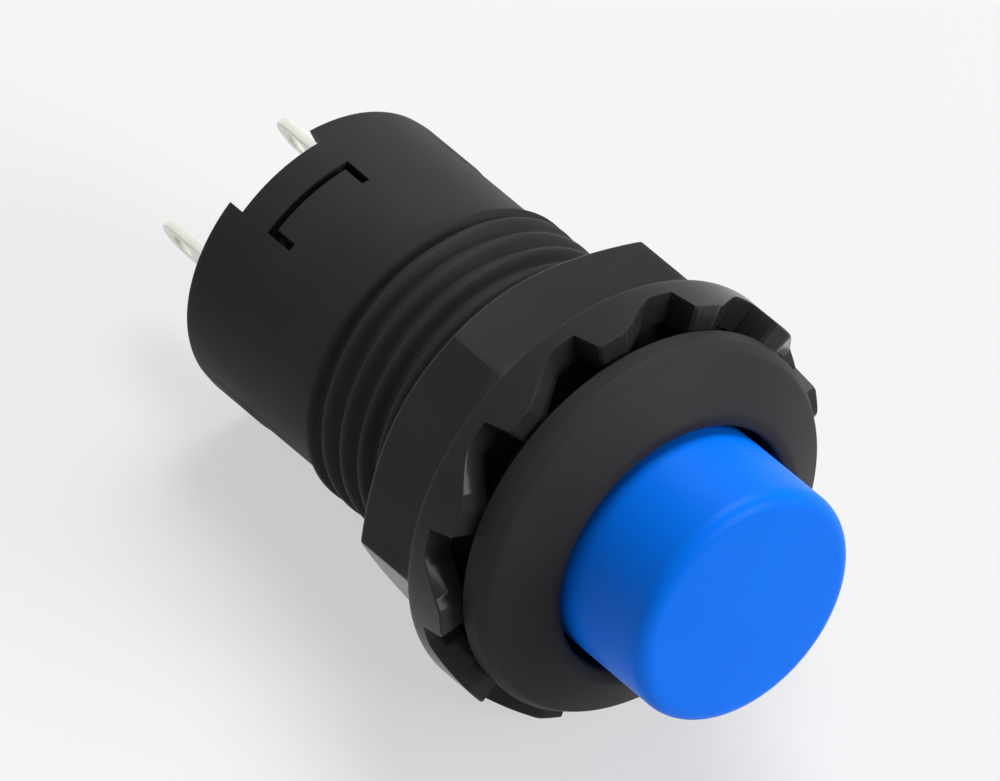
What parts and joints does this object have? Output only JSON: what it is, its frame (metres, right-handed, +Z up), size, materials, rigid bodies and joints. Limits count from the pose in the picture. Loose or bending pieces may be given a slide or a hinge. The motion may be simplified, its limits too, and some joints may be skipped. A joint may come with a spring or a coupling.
{
  "type": "latching push button switch",
  "caption": "Panel-mount latching push button switch with a round button, a 12 mm threaded bushing, a toothed hexagon nut and two solder lugs.",
  "frame": {"origin": "middle of the bezel's rear face, which is the panel's front face", "axes": "-Y towards the button, +Y towards the lugs, +Z up with the switch lying"},
  "size_m": [0.0164, 0.0294, 0.0164],
  "materials": {
    "housing_plastic": "moulded black nylon, satin",
    "base_plastic": "moulded black nylon, satin",
    "nut_plastic": "moulded black nylon, polished",
    "button_plastic": "moulded blue plastic, soft gloss",
    "white_plastic": "moulded natural acetal",
    "spring_steel": "drawn wire",
    "bronze": "stamped strip",
    "tinned_brass": "stamped strip, tin plated",
    "silver": "silver contact"
  },
  "bodies": {
    "case": {"housing": "housing_plastic", "terminal_base": "base_plastic", "terminal_left": "tinned_brass", "terminal_right": "tinned_brass", "terminal_tip_left": "silver", "terminal_tip_right": "silver", "latch_leaf": "bronze", "return_spring": "spring_steel"},
    "button": {"push_button": "button_plastic", "plunger": "white_plastic"},
    "bridge": {"contact_bridge": "bronze", "bridge_tip_left": "silver", "bridge_tip_right": "silver", "contact_spring": "spring_steel"},
    "latch": {"latch_pin": "spring_steel"},
    "nut": {"panel_nut": "nut_plastic"}
  },
  "joints": [
    {"name": "button_press", "type": "slide", "parent": "case", "child": "button", "axis": [0, 1, 0], "range_m": [0, 0.003], "stiffness_N_per_m": 350, "springref_m": -0.004, "deforming": ["return_spring", "contact_spring"]},
    {"name": "bridge_travel", "type": "slide", "parent": "case", "child": "bridge", "axis": [0, 1, 0], "range_m": [0, 0.00118]},
    {"name": "pin_swing", "type": "hinge", "parent": "case", "child": "latch", "pos_m": [-0.0007, 0.01375, 0.00171], "axis": [-0.3778, 0, 0.9259], "range_deg": [-13.9, 0]},
    {"name": "nut_travel", "type": "slide", "parent": "case", "child": "nut", "axis": [0, 1, 0], "range_m": [0, 0.004]}
  ],
  "couplings": [
    {"joint": "bridge_travel", "follows": "button_press", "ratio": 0.393},
    {"joint": "pin_swing", "follows": "button_press", "rad_per_m": -80.797}
  ]
}
